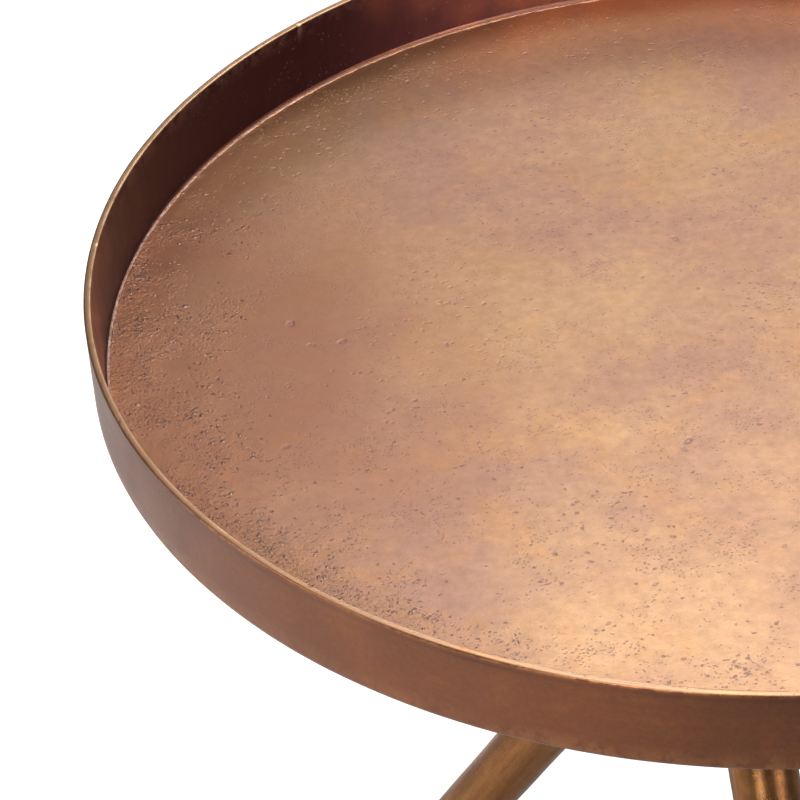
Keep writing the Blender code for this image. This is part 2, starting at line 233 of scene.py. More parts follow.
def make_sand_grain():
    """Fine unevenness of a casting that was only lightly rubbed down, or the texture of a moulded surface."""
    tree, given, result = new_group(
        "sand_grain",
        [("Vector", "NodeSocketVector", None), ("Grain Size", "NodeSocketFloat", 0.001)],
        [("Height", "NodeSocketFloat")])
    scale = maths(tree, "DIVIDE", 1.0, given.outputs["Grain Size"])
    tree.links.new(noise_at(tree, given.outputs["Vector"], scale, 5.0, 0.7), result.inputs["Height"])
    return tree


def make_rubbed_and_sheen_streaks():
    """Soft marks from rubbing one way, on the legs painted highlight as well: short across X and Y and long
    in Z, or the other way round.
    """
    tree, given, result = new_group(
        "rubbed_and_sheen_streaks",
        [("Vector", "NodeSocketVector", None), ("Across", "NodeSocketFloat", 0.003),
         ("Upright", "NodeSocketFloat", 0.08)],
        [("Streak", "NodeSocketFloat")])
    across = maths(tree, "DIVIDE", 1.0, given.outputs["Across"])
    upright = maths(tree, "DIVIDE", 1.0, given.outputs["Upright"])
    stretch = add_node(tree, "ShaderNodeCombineXYZ", {0: across, 1: across, 2: upright}).outputs[0]
    stretched = vector_maths(tree, "MULTIPLY", given.outputs["Vector"], stretch)
    streak = remap(tree, noise_at(tree, stretched, 1.0, 5.0, 0.62), 0.32, 0.68)
    tree.links.new(streak, result.inputs["Streak"])
    return tree


def make_edge_wear():
    """Rubbed edges: the wear painted on the mesh, broken up so that it comes and goes."""
    tree, given, result = new_group(
        "edge_wear",
        [("Vector", "NodeSocketVector", None), ("Wear", "NodeSocketFloat", 0.0),
         ("Color", "NodeSocketColor", (0.5, 0.3, 0.2, 1.0)),
         ("Worn Color", "NodeSocketColor", (0.9, 0.7, 0.5, 1.0)),
         ("Break Size", "NodeSocketFloat", 0.006)],
        [("Color", "NodeSocketColor"), ("Worn", "NodeSocketFloat")])
    scale = maths(tree, "DIVIDE", 1.0, given.outputs["Break Size"])
    fine = remap(tree, noise_at(tree, given.outputs["Vector"], scale, 6.0, 0.72), 0.42, 0.56, 0.05, 1.0)
    slow = remap(tree, noise_at(tree, given.outputs["Vector"], 11.0, 3.0, 0.6), 0.36, 0.60, 0.35, 1.0)
    worn = maths(tree, "MULTIPLY", given.outputs["Wear"], maths(tree, "MULTIPLY", fine, slow), clamp=True)
    tree.links.new(blend_colours(tree, worn, given.outputs["Color"], given.outputs["Worn Color"]),
                   result.inputs["Color"])
    tree.links.new(worn, result.inputs["Worn"])
    return tree


CASTING_PITS = make_casting_pits()
PATINA_CLOUDS = make_patina_clouds()
SAND_GRAIN = make_sand_grain()
RUBBED_AND_SHEEN_STREAKS = make_rubbed_and_sheen_streaks()
EDGE_WEAR = make_edge_wear()


# ---------------------------------------------------------------- materials

def rgb(red, green, blue):
    return (red, green, blue, 1.0)


def new_material(name, **shader_values):
    material = bpy.data.materials.new(name)
    material.use_nodes = True
    shader = material.node_tree.nodes["Principled BSDF"]
    for socket, value in shader_values.items():
        shader.inputs[socket.replace("_", " ")].default_value = value
    return material, material.node_tree, shader


# Colour of the pits and marks; in the hollows of the pebbly skin it is painted shade
PIT_COLOUR = rgb(0.25, 0.155, 0.170)
# Size and height of the lumps and hollows of the pebbly skin, and how far each layer is shifted
COARSE_LAYERS = ((0.0021, 0.60, 0.0), (0.0015, 0.45, 0.31), (0.0016, -0.25, 0.17))


def brass(name, ground, cloud, blotch, cloud_size, blotch_amount, pits, grain, worn_colour, roughness,
          coat=0.2, pit_tint=0.5, mottle=(0.003, 0.06), streaks=None, coarse=False, edge_band=None,
          painted_shade_colour=None, break_size=0.006):
    """Cast brass under an antique finish.

    pits is a list of (size, cluster size, share, depth), grain of (size, depth). streaks is the colour of the
    rubbed streaks, which on the legs are painted highlight as well, their size in X and Y, their size in Z,
    their share and the attribute that they follow. coarse adds the pebbly skin, with painted shade in the
    hollows of its sunk layer, and painted_shade_colour the painted shade, where the mesh is painted for it.
    edge_band is a colour and two radii, and mottle the size and strength of the finest unevenness in colour.
    """
    material, tree, shader = new_material(name, Metallic=1.0, Coat_Weight=coat, Coat_Roughness=0.35)
    place = add_node(tree, "ShaderNodeTexCoord").outputs["Object"]
    clouds = place_group(tree, PATINA_CLOUDS, {
        "Vector": place, "Ground": ground, "Cloud": cloud, "Blotch": blotch, "Cloud Size": cloud_size,
        "Blotch Amount": blotch_amount, "Mottle Size": mottle[0], "Mottle Amount": mottle[1]})
    colour = clouds["Color"]
    rough = maths(tree, "MULTIPLY_ADD", clouds["Cloud"], roughness[1] - roughness[0], roughness[0])
    if edge_band:
        band_colour, inner, outer = edge_band
        flat = vector_maths(tree, "MULTIPLY", place, (1.0, 1.0, 0.0))
        reach = vector_maths(tree, "LENGTH", flat, (0.0, 0.0, 0.0))
        uneven = maths(tree, "MULTIPLY_ADD", noise_at(tree, place, 26.0, 6.0, 0.68), 0.07, -0.035)
        band = remap(tree, maths(tree, "ADD", reach, uneven), inner, outer)
        colour = blend_colours(tree, maths(tree, "MULTIPLY", band, 0.8), colour, band_colour)
    # Streaks; on the legs their gold colour is rubbed marks and painted highlight in one
    if streaks:
        streak_colour, across, upright, share, follows = streaks
        lie = place
        if follows:
            lie = add_node(tree, "ShaderNodeAttribute", attribute_name=follows).outputs["Vector"]
        streak = place_group(tree, RUBBED_AND_SHEEN_STREAKS, {
            "Vector": lie, "Across": across, "Upright": upright})["Streak"]
        colour = blend_colours(tree, maths(tree, "MULTIPLY", streak, share), colour, streak_colour)
        rough = maths(tree, "MULTIPLY_ADD", streak, -0.05, rough)
    # Painted shade: a line below the lip, a stretch of the inner wall and a patch of the floor
    if painted_shade_colour:
        colour = blend_colours(tree, painted(tree, "painted_shade"), colour, painted_shade_colour)
    relief = 0.0
    # Darker colour in the marks' grooves and in the pits; in the hollows of the pebbly skin it is painted
    # shade
    dark = painted(tree, "groove_darkening")
    for size, cluster, share, depth in pits:
        found = place_group(tree, CASTING_PITS, {
            "Vector": place, "Pit Size": size, "Cluster Size": cluster, "Share": share})["Pits"]
        relief = maths(tree, "MULTIPLY_ADD", found, -depth, relief)
        dark = maths(tree, "MAXIMUM", dark, found)
    for size, depth in grain:
        sand = place_group(tree, SAND_GRAIN, {"Vector": place, "Grain Size": size})["Height"]
        relief = maths(tree, "MULTIPLY_ADD", sand, depth, relief)
    if coarse:
        skin = painted(tree, "coarse")
        for size, depth, moved in COARSE_LAYERS:
            shifted = vector_maths(tree, "ADD", place, (moved, moved, 0.0))
            lumps = place_group(tree, CASTING_PITS, {
                "Vector": shifted, "Pit Size": size, "Cluster Size": 0.008, "Share": skin})["Pits"]
            relief = maths(tree, "MULTIPLY_ADD", lumps, depth, relief)
            # The sunk layer's hollows get painted shade in the pit colour
            if depth < 0.0:
                dark = maths(tree, "MAXIMUM", dark, lumps)
            else:
                colour = blend_colours(tree, maths(tree, "MULTIPLY", lumps, 0.4), colour, worn_colour)
        fine = place_group(tree, SAND_GRAIN, {"Vector": place, "Grain Size": 0.0014})["Height"]
        relief = maths(tree, "MULTIPLY_ADD", maths(tree, "MULTIPLY", fine, skin), 0.5, relief)
        ridge = maths(tree, "MULTIPLY", noise_at(tree, place, 700.0, 4.0, 0.7), painted(tree, "wear"))
        relief = maths(tree, "MULTIPLY_ADD", ridge, 0.5, relief)
    colour = blend_colours(tree, maths(tree, "MULTIPLY", dark, pit_tint), colour, PIT_COLOUR)
    edges = place_group(tree, EDGE_WEAR, {"Vector": place, "Wear": painted(tree, "wear"), "Color": colour,
                                          "Worn Color": worn_colour, "Break Size": break_size})
    rough = maths(tree, "MULTIPLY_ADD", dark, 0.2, rough, clamp=True)
    bump = add_node(tree, "ShaderNodeBump", {"Height": relief, "Strength": 1.0, "Distance": 0.001})
    feed(tree, shader, {"Base Color": edges["Color"], "Roughness": rough, "Normal": bump.outputs["Normal"]})
    return material


FLOOR_BRASS = brass(
    "tray_floor_brass", ground=rgb(0.66, 0.382, 0.203), cloud=rgb(0.49, 0.265, 0.182),
    blotch=rgb(0.66, 0.335, 0.135), cloud_size=0.11, blotch_amount=0.55,
    pits=[(0.0012, 0.022, 0.66, 0.07), (0.0022, 0.050, 0.20, 0.12)], grain=[(0.0009, 0.07), (0.0045, 0.06)],
    worn_colour=rgb(0.68, 0.51, 0.47), roughness=(0.36, 0.44), coat=0.45, pit_tint=0.52,
    mottle=(0.0060, 0.17), coarse=True, break_size=0.0018, painted_shade_colour=rgb(0.41, 0.165, 0.088),
    edge_band=(rgb(0.58, 0.280, 0.130), FLOOR_RADIUS - 0.040, FLOOR_RADIUS))
WALL_BRASS = brass(
    "tray_wall_brass", ground=rgb(0.29, 0.096, 0.037), cloud=rgb(0.25, 0.088, 0.040),
    blotch=rgb(0.40, 0.138, 0.044), cloud_size=0.07, blotch_amount=0.5,
    pits=[(0.0011, 0.03, 0.25, 0.06)], grain=[(0.0012, 0.04), (0.006, 0.10)],
    worn_colour=rgb(0.72, 0.32, 0.12), roughness=(0.36, 0.44), coat=0.40, pit_tint=0.5, mottle=(0.0022, 0.16),
    streaks=(rgb(0.22, 0.078, 0.036), 0.05, 0.0022, 0.40, ""), painted_shade_colour=rgb(0.10, 0.038, 0.026))
INNER_BRASS = brass(
    "tray_inner_wall_brass", ground=rgb(0.30, 0.120, 0.085), cloud=rgb(0.22, 0.092, 0.072),
    blotch=rgb(0.44, 0.150, 0.065), cloud_size=0.07, blotch_amount=0.6,
    pits=[(0.0011, 0.02, 0.12, 0.06)], grain=[(0.0012, 0.04), (0.006, 0.10)],
    worn_colour=rgb(0.62, 0.40, 0.34), roughness=(0.38, 0.46), coat=0.05,
    streaks=(rgb(0.34, 0.110, 0.050), 0.006, 0.05, 0.3, ""), painted_shade_colour=rgb(0.064, 0.026, 0.034))
LIP_BRASS = brass(
    "tray_lip_brass", ground=rgb(0.66, 0.370, 0.190), cloud=rgb(0.50, 0.250, 0.155),
    blotch=rgb(0.62, 0.285, 0.125), cloud_size=0.03, blotch_amount=0.4,
    pits=[(0.0008, 0.01, 0.20, 0.06)], grain=[(0.0007, 0.03)],
    worn_colour=rgb(0.92, 0.64, 0.38), roughness=(0.28, 0.38), coat=0.2, break_size=0.03)
UNDER_BRASS = brass(
    "tray_underside_brass", ground=rgb(0.32, 0.170, 0.095), cloud=rgb(0.23, 0.125, 0.080),
    blotch=rgb(0.36, 0.165, 0.065), cloud_size=0.09, blotch_amount=0.6,
    pits=[(0.0016, 0.03, 0.5, 0.25)], grain=[(0.0014, 0.22), (0.006, 0.2)],
    worn_colour=rgb(0.60, 0.38, 0.20), roughness=(0.46, 0.58), coat=0.0)
# The legs' lengthwise gold streaks are rubbed marks and painted highlight in one
LEG_BRASS = brass(
    "leg_brass", ground=rgb(0.30, 0.118, 0.042), cloud=rgb(0.24, 0.096, 0.038),
    blotch=rgb(0.50, 0.215, 0.066), cloud_size=0.035, blotch_amount=0.5,
    pits=[(0.0009, 0.02, 0.25, 0.06)], grain=[(0.0010, 0.06), (0.0026, 0.11)],
    worn_colour=rgb(0.76, 0.50, 0.24), roughness=(0.27, 0.36), coat=0.12, pit_tint=0.45,
    mottle=(0.0016, 0.12), streaks=(rgb(0.68, 0.340, 0.120), 0.0055, 0.06, 0.35, "lengthwise"))


def steel(name, ground, cloud, worn_colour, roughness, grain, metallic=1.0):
    """Painted or plated steel, or moulded rubber: faint clouds, fine grain and rubbed edges."""
    material, tree, shader = new_material(name, Metallic=metallic)
    place = add_node(tree, "ShaderNodeTexCoord").outputs["Object"]
    clouds = place_group(tree, PATINA_CLOUDS, {
        "Vector": place, "Ground": ground, "Cloud": cloud, "Blotch": cloud, "Cloud Size": 0.02,
        "Blotch Amount": 0.3})
    edges = place_group(tree, EDGE_WEAR, {
        "Vector": place, "Wear": painted(tree, "wear"), "Color": clouds["Color"],
        "Worn Color": worn_colour, "Break Size": 0.003})
    size, depth = grain
    sand = place_group(tree, SAND_GRAIN, {"Vector": place, "Grain Size": size})["Height"]
    relief = maths(tree, "MULTIPLY", sand, depth)
    rough = maths(tree, "MULTIPLY_ADD", clouds["Cloud"], roughness[1] - roughness[0], roughness[0])
    bump = add_node(tree, "ShaderNodeBump", {"Height": relief, "Strength": 1.0, "Distance": 0.001})
    feed(tree, shader, {"Base Color": edges["Color"], "Roughness": rough, "Normal": bump.outputs["Normal"]})
    return material


PLATE_STEEL = steel("plate_black_steel", rgb(0.045, 0.040, 0.036), rgb(0.070, 0.058, 0.048),
                    rgb(0.30, 0.28, 0.26), (0.48, 0.60), (0.0012, 0.12), metallic=0.6)
SCREW_STEEL = steel("screw_zinc_steel", rgb(0.58, 0.57, 0.54), rgb(0.46, 0.45, 0.43),
                    rgb(0.80, 0.79, 0.76), (0.26, 0.38), (0.0006, 0.03))
GLIDE_RUBBER = steel("glide_black_rubber", rgb(0.022, 0.022, 0.022), rgb(0.035, 0.034, 0.032),
                     rgb(0.075, 0.073, 0.070), (0.72, 0.85), (0.0005, 0.06), metallic=0.0)


# ---------------------------------------------------------------- mesh helpers

def add_object(name, bm):
    """Turns a finished bmesh into an object in the scene."""
    mesh = bpy.data.meshes.new(name)
    bm.to_mesh(mesh)
    bm.free()
    made = bpy.data.objects.new(name, mesh)
    bpy.context.scene.collection.objects.link(made)
    return made


def add_piece(name, bm, materials, replaced, smooth_degrees=40.0):
    """Adds a piece of the table with its finishes and the nodes that it stands for."""
    piece = add_object(name, bm)
    piece.data.shade_smooth()
    piece.data.set_sharp_from_angle(angle=math.radians(smooth_degrees))
    for material in materials:
        piece.data.materials.append(material)
    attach(piece, "root")
    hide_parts(*replaced)
    return piece


def arc(centre, radius, from_degrees, to_degrees, steps):
    points = []
    for step in range(steps + 1):
        angle = math.radians(from_degrees + (to_degrees - from_degrees) * step / steps)
        points.append((centre[0] + radius * math.cos(angle), centre[1] + radius * math.sin(angle)))
    return points


def straight(start, end, steps):
    """Points strictly between start and end."""
    return [(start[0] + (end[0] - start[0]) * step / steps, start[1] + (end[1] - start[1]) * step / steps)
            for step in range(1, steps)]


def edges_between(verts):
    wanted = set(verts)
    return [edge for edge in {edge for vert in verts for edge in vert.link_edges}
            if edge.verts[0] in wanted and edge.verts[1] in wanted]


TABLE_AXIS = Vector((0.0, 0.0))


def extrude_ring(bm, edges, outline, height, material_index=0, centre=TABLE_AXIS):
    """Adds one more ring to a turned shape. outline is a radius, or a function from angle to radius."""
    made = bmesh.ops.extrude_edge_only(bm, edges=edges)["geom"]
    verts = [item for item in made if isinstance(item, bmesh.types.BMVert)]
    for vert in verts:
        flat = vert.co.to_2d() - centre
        angle = math.atan2(flat.y, flat.x)
        radius = outline(angle) if callable(outline) else outline
        flat = flat.normalized() * radius + centre
        vert.co = (flat.x, flat.y, height)
    for item in made:
        if isinstance(item, bmesh.types.BMFace):
            item.material_index = material_index
    return edges_between(verts)


def spun(profile, sides, closed=False):
    """Spins (radius, height) points about Z. A closed profile joins its last point to its first."""
    bm = bmesh.new()
    points = [bm.verts.new((radius, 0.0, height)) for radius, height in profile]
    pairs = zip(points, points[1:] + points[:1]) if closed else zip(points, points[1:])
    edges = [bm.edges.new(pair) for pair in pairs]
    bmesh.ops.spin(bm, geom=points + edges, cent=(0.0, 0.0, 0.0), axis=(0.0, 0.0, 1.0),
                   angle=math.tau, steps=sides, use_merge=True)
    bmesh.ops.remove_doubles(bm, verts=bm.verts, dist=1e-7)
    return bm


def paint(bm, name, value_at):
    """Writes a value on every vertex, worked out from its place."""
    layer = bm.verts.layers.float.get(name) or bm.verts.layers.float.new(name)
    for vert in bm.verts:
        vert[layer] = value_at(vert.co)


def add_bar(bm, start, end, radius, sides=32):
    span = end - start
    turn = span.to_track_quat("Z", "Y").to_matrix().to_4x4()
    bmesh.ops.create_cone(bm, cap_ends=True, segments=sides, radius1=radius, radius2=radius,
                          depth=span.length, matrix=Matrix.Translation((start + end) / 2.0) @ turn)


def cut_out(bm, tool_bm):
    """Cuts a closed shape out of another one and returns what is left."""
    body = add_object("uncut", bm)
    tool = add_object("cutter", tool_bm)
    boolean = body.modifiers.new("cut", "BOOLEAN")
    boolean.operation = "DIFFERENCE"
    boolean.solver = "MANIFOLD"
    boolean.object = tool
    graph = bpy.context.evaluated_depsgraph_get()
    mesh = bpy.data.meshes.new_from_object(body.evaluated_get(graph))
    left = bmesh.new()
    left.from_mesh(mesh)
    for used in (body, tool):
        bpy.data.objects.remove(used, do_unlink=True)
    bpy.data.meshes.remove(mesh)
    return left


def axis_of(node):
    """The flat place of an upright fastener's axis."""
    low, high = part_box(node)
    return ((low + high) / 2.0).to_2d()


# ---------------------------------------------------------------- tray

FLOOR_RINGS = 130
FLOOR_FACES, INNER_FACES, LIP_FACES, WALL_FACES, UNDER_FACES = range(5)
BOSS_SIDES = 48
MARK_COUNT = 30

# Pebbly skin of the floor: its middle and half width round the wall, in degrees, and its reach inwards
COARSE_HEADING = 186.0
COARSE_SPREAD = 50.0
COARSE_DEPTH = 0.052

# Painted shade: a darker stretch of the inner wall, a round patch of the floor, and a line below the lip
SHADED_WALL_HEADING = 131.0
SHADED_WALL_SPREAD = 36.0
SHADED_FLOOR_CENTRE = Vector((-0.235, 0.045))
SHADED_FLOOR_RADIUS = 0.135
LIP_SHADE_DROP = 0.0026
LIP_SHADE_WIDTH = 0.0017

# Unevenness of the casting: slow waves, and a ragged line where floor meets wall
WAVE_HEIGHT = 0.00012
RAGGED_HEIGHT = 0.00030
RAGGED_WIDTH = 0.0025

# Knocks in the lip: heading in degrees, radius and depth. The wider ones are in its inner edge
INNER_NICK_RADIUS = 0.00105
LIP_NICKS = ((161.0, 0.0011, 0.00045), (187.0, 0.0009, 0.00035), (214.5, 0.0014, 0.00040),
             (318.0, 0.0012, 0.0004), (22.0, 0.0013, 0.0004), (77.0, 0.0010, 0.0003), (121.0, 0.0012, 0.0004))


def even_disc(bm, radius, rings, height):
    """A disc of equal triangles: a hexagon cut into a triangle grid, then eased out to a circle."""
    bmesh.ops.create_circle(bm, cap_ends=True, cap_tris=True, segments=6, radius=1.0,
                            matrix=Matrix.Rotation(math.radians(30.0), 4, "Z"))
    bmesh.ops.subdivide_edges(bm, edges=bm.edges[:], cuts=rings - 1, use_grid_fill=True)
    for vert in bm.verts:
        angle = math.atan2(vert.co.y, vert.co.x) % math.tau
        corner = math.floor(angle / (math.pi / 3.0) + 1e-9) * math.pi / 3.0
        length = vert.co.to_2d().length
        side = length * math.sin(angle - corner) / math.sin(math.pi / 3.0)
        reach = length * math.cos(angle - corner) + side * 0.5
        turn = corner + (side / reach * math.pi / 3.0 if reach > 1e-6 else 0.0)
        vert.co = (reach * radius * math.cos(turn), reach * radius * math.sin(turn), height)


def tray_rings():
    """(radius, height, region, wear) of each ring from the floor's edge, over the rim, to the underside."""
    outer_foot = RADIUS - WALL_LEAN
    inner_top = RADIUS - LIP_WIDTH
    inner_foot = outer_foot - WALL_FOOT
    fillet = arc((inner_foot - FLOOR_FILLET, FLOOR_Z + FLOOR_FILLET), FLOOR_FILLET, -90.0, -6.0, 7)
    lip_in = arc((inner_top + LIP_INNER_EDGE, LIP_Z - LIP_INNER_EDGE), LIP_INNER_EDGE, 174.0, 90.0, 4)
    lip_out = arc((RADIUS - LIP_OUTER_EDGE, LIP_Z - LIP_OUTER_EDGE), LIP_OUTER_EDGE, 90.0, -2.0, 5)
    foot = arc((outer_foot - RIM_ROUNDING, UNDERSIDE_Z + RIM_ROUNDING), RIM_ROUNDING, -2.0, -90.0, 5)
    rings = [(*fillet[1], FLOOR_FACES, 0.5), (*fillet[2], FLOOR_FACES, 1.0), (*fillet[3], FLOOR_FACES, 0.15)]
    rings += [(*point, INNER_FACES, 0.0) for point in fillet[4:] + straight(fillet[-1], lip_in[0], 4)]
    rings += [(*lip_in[0], INNER_FACES, 0.2)]
    rings += [(*point, LIP_FACES, 0.9) for point in lip_in[1:]]
    rings += [(*point, LIP_FACES, 0.1) for point in straight(lip_in[-1], lip_out[0], 2)]
    rings += [(*point, LIP_FACES, 0.25) for point in lip_out[:3]]
    rings += [(*point, WALL_FACES, worn) for point, worn in zip(lip_out[3:], (0.25, 0.9, 0.45))]
    below_lip = (lip_out[5][0] - 0.00003, lip_out[5][1] - 0.0007)
    lower = (below_lip[0] - 0.00010, below_lip[1] - 0.0022)
    rings += [(*below_lip, WALL_FACES, 0.0)]
    rings += [(*point, WALL_FACES, 0.0) for point in straight(below_lip, lower, 2) + [lower]]
    rings += [(*point, WALL_FACES, 0.0) for point in straight(lower, foot[0], 4)]
    rings += [(*point, WALL_FACES, 0.30) for point in foot[:-2]]
    rings += [(*point, UNDER_FACES, 0.10) for point in foot[-2:]]
    rings += [(radius, UNDERSIDE_Z, UNDER_FACES, 0.0) for radius in (0.230, 0.200, 0.165, 0.130, 0.100)]
    return rings


def add_bosses(bm, edges):
    """Closes the middle of the underside round six bosses, each with a blind hole for its screw."""
    mouths = []
    turn_in = arc((0.0, 0.0), BOSS_ROOT_FILLET, 90.0, 0.0, 3)
    for node in PLATE_SCREWS:
        centre = axis_of(node)
        place = Matrix.Translation((centre.x, centre.y, UNDERSIDE_Z))
        made = bmesh.ops.create_circle(bm, segments=BOSS_SIDES, radius=BOSS_RADIUS + BOSS_ROOT_FILLET,
                                       matrix=place)
        mouths.append((centre, edges_between(made["verts"])))
    rims = edges + [edge for _, ring in mouths for edge in ring]
    filled = bmesh.ops.triangle_fill(bm, use_beauty=True, use_dissolve=False, edges=rims,
                                     normal=(0.0, 0.0, -1.0))
    for item in filled["geom"]:
        if isinstance(item, bmesh.types.BMFace):
            item.material_index = UNDER_FACES
    hole = PLATE_SCREW["shank"] / 2.0 + GAP
    root = (BOSS_RADIUS + BOSS_ROOT_FILLET, UNDERSIDE_Z - BOSS_ROOT_FILLET)
    bevel_z = BOSS_TIP_Z + BOSS_CHAMFER
    for centre, ring in mouths:
        steps = [(root[0] - run, root[1] + rise) for run, rise in turn_in[1:]]
        steps += straight(steps[-1], (BOSS_TIP_RADIUS, bevel_z), 3)
        steps += [(BOSS_TIP_RADIUS, bevel_z), (BOSS_TIP_RADIUS - BOSS_CHAMFER, BOSS_TIP_Z)]
        steps += [(hole + BOSS_CHAMFER, BOSS_TIP_Z), (hole, bevel_z), (hole, UNDERSIDE_Z)]
        for radius, height in steps:
            ring = extrude_ring(bm, ring, radius, height, UNDER_FACES, centre)
        cap = bmesh.ops.edgeloop_fill(bm, edges=ring)["faces"]
        for face in cap:
            face.material_index = UNDER_FACES


def tree_of(places):
    """A search tree over places, for finding the mark nearest to a point."""
    tree = kdtree.KDTree(len(places))
    for index, place in enumerate(places):
        tree.insert(place, index)
    tree.balance()
    return tree


def refine(bm, places, radius, cuts):
    """Cuts the faces round each place finer, so that a small mark can be shaped there."""
    tree = tree_of(places)
    faces = [face for face in bm.faces if tree.find(face.calc_center_median())[2] < radius]
    near = {edge for face in faces for edge in face.edges}
    bmesh.ops.subdivide_edges(bm, edges=list(near), cuts=cuts, use_grid_fill=True)


def floor_marks():
    """Places and sizes of the larger blow holes in the floor: (place, radius, depth)."""
    draw = random.Random(11)
    marks = []
    for _ in range(MARK_COUNT):
        angle = draw.uniform(0.0, math.tau)
        reach = FLOOR_RADIUS * math.sqrt(draw.uniform(0.01, 0.94))
        size = draw.uniform(0.0008, 0.0017)
        marks.append((Vector((reach * math.cos(angle), reach * math.sin(angle), FLOOR_Z)), size, size * 0.10))
    return marks


def sink_marks(bm, marks, groove_darkening):
    """Presses each mark into the surface as a shallow uneven ring round a slightly sunk middle."""
    places = [place for place, _, _ in marks]
    refine(bm, places, max(radius for _, radius, _ in marks) + 0.0012, 3)
    tree = tree_of(places)
    for vert in bm.verts:
        place, index, distance = tree.find(vert.co)
        radius, depth = marks[index][1:]
        if distance > radius * 2.0:
            continue
        offset = vert.co - place
        turn = math.atan2(offset.y, offset.x)
        edge = radius * (1.0 + 0.28 * math.sin(turn * 2.0 + place.x * 900.0))
        away = offset.to_2d().length / edge
        groove = math.exp(-((away - 0.7) / 0.28) ** 2)
        middle = 0.5 * math.exp(-(away / 0.6) ** 2)
        vert.co.z -= depth * (groove + middle)
        # The ring and the middle are darker in colour
        vert[groove_darkening] = min(1.0, groove + middle * 0.4)


def nick_lip(bm, wear):
    """Small knocks in the lip's edges."""
    places = []
    for degrees, width, _ in LIP_NICKS:
        angle = math.radians(degrees)
        edge = RADIUS - (LIP_WIDTH if width > INNER_NICK_RADIUS else LIP_OUTER_EDGE / 2.0)
        places.append(Vector((edge * math.cos(angle), edge * math.sin(angle), LIP_Z)))
    refine(bm, places, 0.0035, 3)
    tree = tree_of(places)
    for vert in bm.verts:
        _, index, away = tree.find(vert.co)
        _, width, depth = LIP_NICKS[index]
        if away < width:
            share = 1.0 - (away / width) ** 2
            vert.co.z -= depth * share
            vert[wear] = max(vert[wear], share)


def shape_cast_surface(bm):
    """Slow waves over the whole casting, and a ragged line round the floor's edge."""
    for vert in bm.verts:
        place = vert.co
        reach = place.to_2d().length
        wave = noise.fractal(place * 14.0, 1.0, 2.0, 3) * WAVE_HEIGHT
        if place.z > FLOOR_Z - 0.0001 and reach < RADIUS - LIP_WIDTH - 0.0001:
            near_edge = max(0.0, 1.0 - abs(FLOOR_RADIUS - reach) / RAGGED_WIDTH)
            ragged = noise.fractal(place * 330.0, 0.8, 2.1, 4) * RAGGED_HEIGHT * near_edge
            if reach < FLOOR_RADIUS + 0.0005:
                vert.co.z += wave + ragged
            else:
                vert.co += vert.normal * (wave - WAVE_HEIGHT + ragged)
        elif place.z > UNDERSIDE_Z + 0.0001 or reach > 0.11:
            vert.co -= vert.normal * abs(wave)


def coarse_at(place):
    """How far the floor keeps its pebbly moulded skin: patches along one side of the wall's foot."""
    reach = place.to_2d().length
    if place.z > FLOOR_Z + 0.001 or place.z < FLOOR_Z - 0.002 or reach > FLOOR_RADIUS:
        return 0.0
    heading = math.degrees(math.atan2(place.y, place.x)) - COARSE_HEADING
    heading = (heading + 180.0) % 360.0 - 180.0
    side = max(0.0, 1.0 - (heading / COARSE_SPREAD) ** 2)
    inward = max(0.0, 1.0 - (FLOOR_RADIUS - reach) / COARSE_DEPTH)
    patches = noise.fractal(place * 38.0, 0.9, 2.1, 4) + 0.45
    return max(0.0, min(1.0, side * inward * 2.0 * max(0.0, patches)))


def painted_shade_at(place):
    """How much painted shade darkens the brass: below the lip, along the inner wall, and on a patch of the
    floor.
    """
    drift = noise.fractal(place * 16.0, 1.0, 2.0, 3)
    if place.to_2d().length > RADIUS - WALL_LEAN - 0.0010 and place.z < LIP_Z - 0.0010:
        below = abs(LIP_Z - LIP_SHADE_DROP - place.z)
        return 0.5 * max(0.0, 1.0 - below / LIP_SHADE_WIDTH) * (0.8 + drift)
    if place.z > FLOOR_Z + 0.001:
        heading = math.degrees(math.atan2(place.y, place.x)) - SHADED_WALL_HEADING + drift * 12.0
        return max(0.0, min(0.95, 3.0 - abs(heading) / SHADED_WALL_SPREAD * 3.0))
    away = (place.to_2d() - SHADED_FLOOR_CENTRE).length + drift * 0.03
    return max(0.0, min(0.75, 1.3 - away / SHADED_FLOOR_RADIUS))


def build_tray():
    bm = bmesh.new()
    even_disc(bm, FLOOR_RADIUS, FLOOR_RINGS, FLOOR_Z)
    wear = bm.verts.layers.float.new("wear")
    groove_darkening = bm.verts.layers.float.new("groove_darkening")
    edges = [edge for edge in bm.edges if edge.is_boundary]
    for radius, height, region, worn in tray_rings():
        edges = extrude_ring(bm, edges, radius, height, region)
        for vert in {vert for edge in edges for vert in edge.verts}:
            vert[wear] = worn
    add_bosses(bm, edges)
    bmesh.ops.recalc_face_normals(bm, faces=bm.faces[:])
    bm.normal_update()
    shape_cast_surface(bm)
    sink_marks(bm, floor_marks(), groove_darkening)
    nick_lip(bm, wear)
    paint(bm, "coarse", coarse_at)
    # Painted shade below the lip, on part of the inner wall and on a patch of the floor
    paint(bm, "painted_shade", painted_shade_at)
    bmesh.ops.triangulate(bm, faces=[face for face in bm.faces if len(face.verts) > 4])
    add_piece("tray_casting", bm, [FLOOR_BRASS, INNER_BRASS, LIP_BRASS, WALL_BRASS, UNDER_BRASS],
              ["tray"])


# ---------------------------------------------------------------- legs

LEG_SIDES = 96
LEG_RINGS = 90
LEG_WAVE_HEIGHT = 0.00022


def outward(heading):
    return Vector((math.cos(math.radians(heading)), math.sin(math.radians(heading)), 0.0))


def sideways(heading):
    return Vector((-math.sin(math.radians(heading)), math.cos(math.radians(heading)), 0.0))


def leg_radius(height):
    share = (LEG_TOP_Z - height) / (LEG_TOP_Z - LEG_FOOT_Z)
    return LEG_TOP_RADIUS + (LEG_FOOT_RADIUS - LEG_TOP_RADIUS) * share


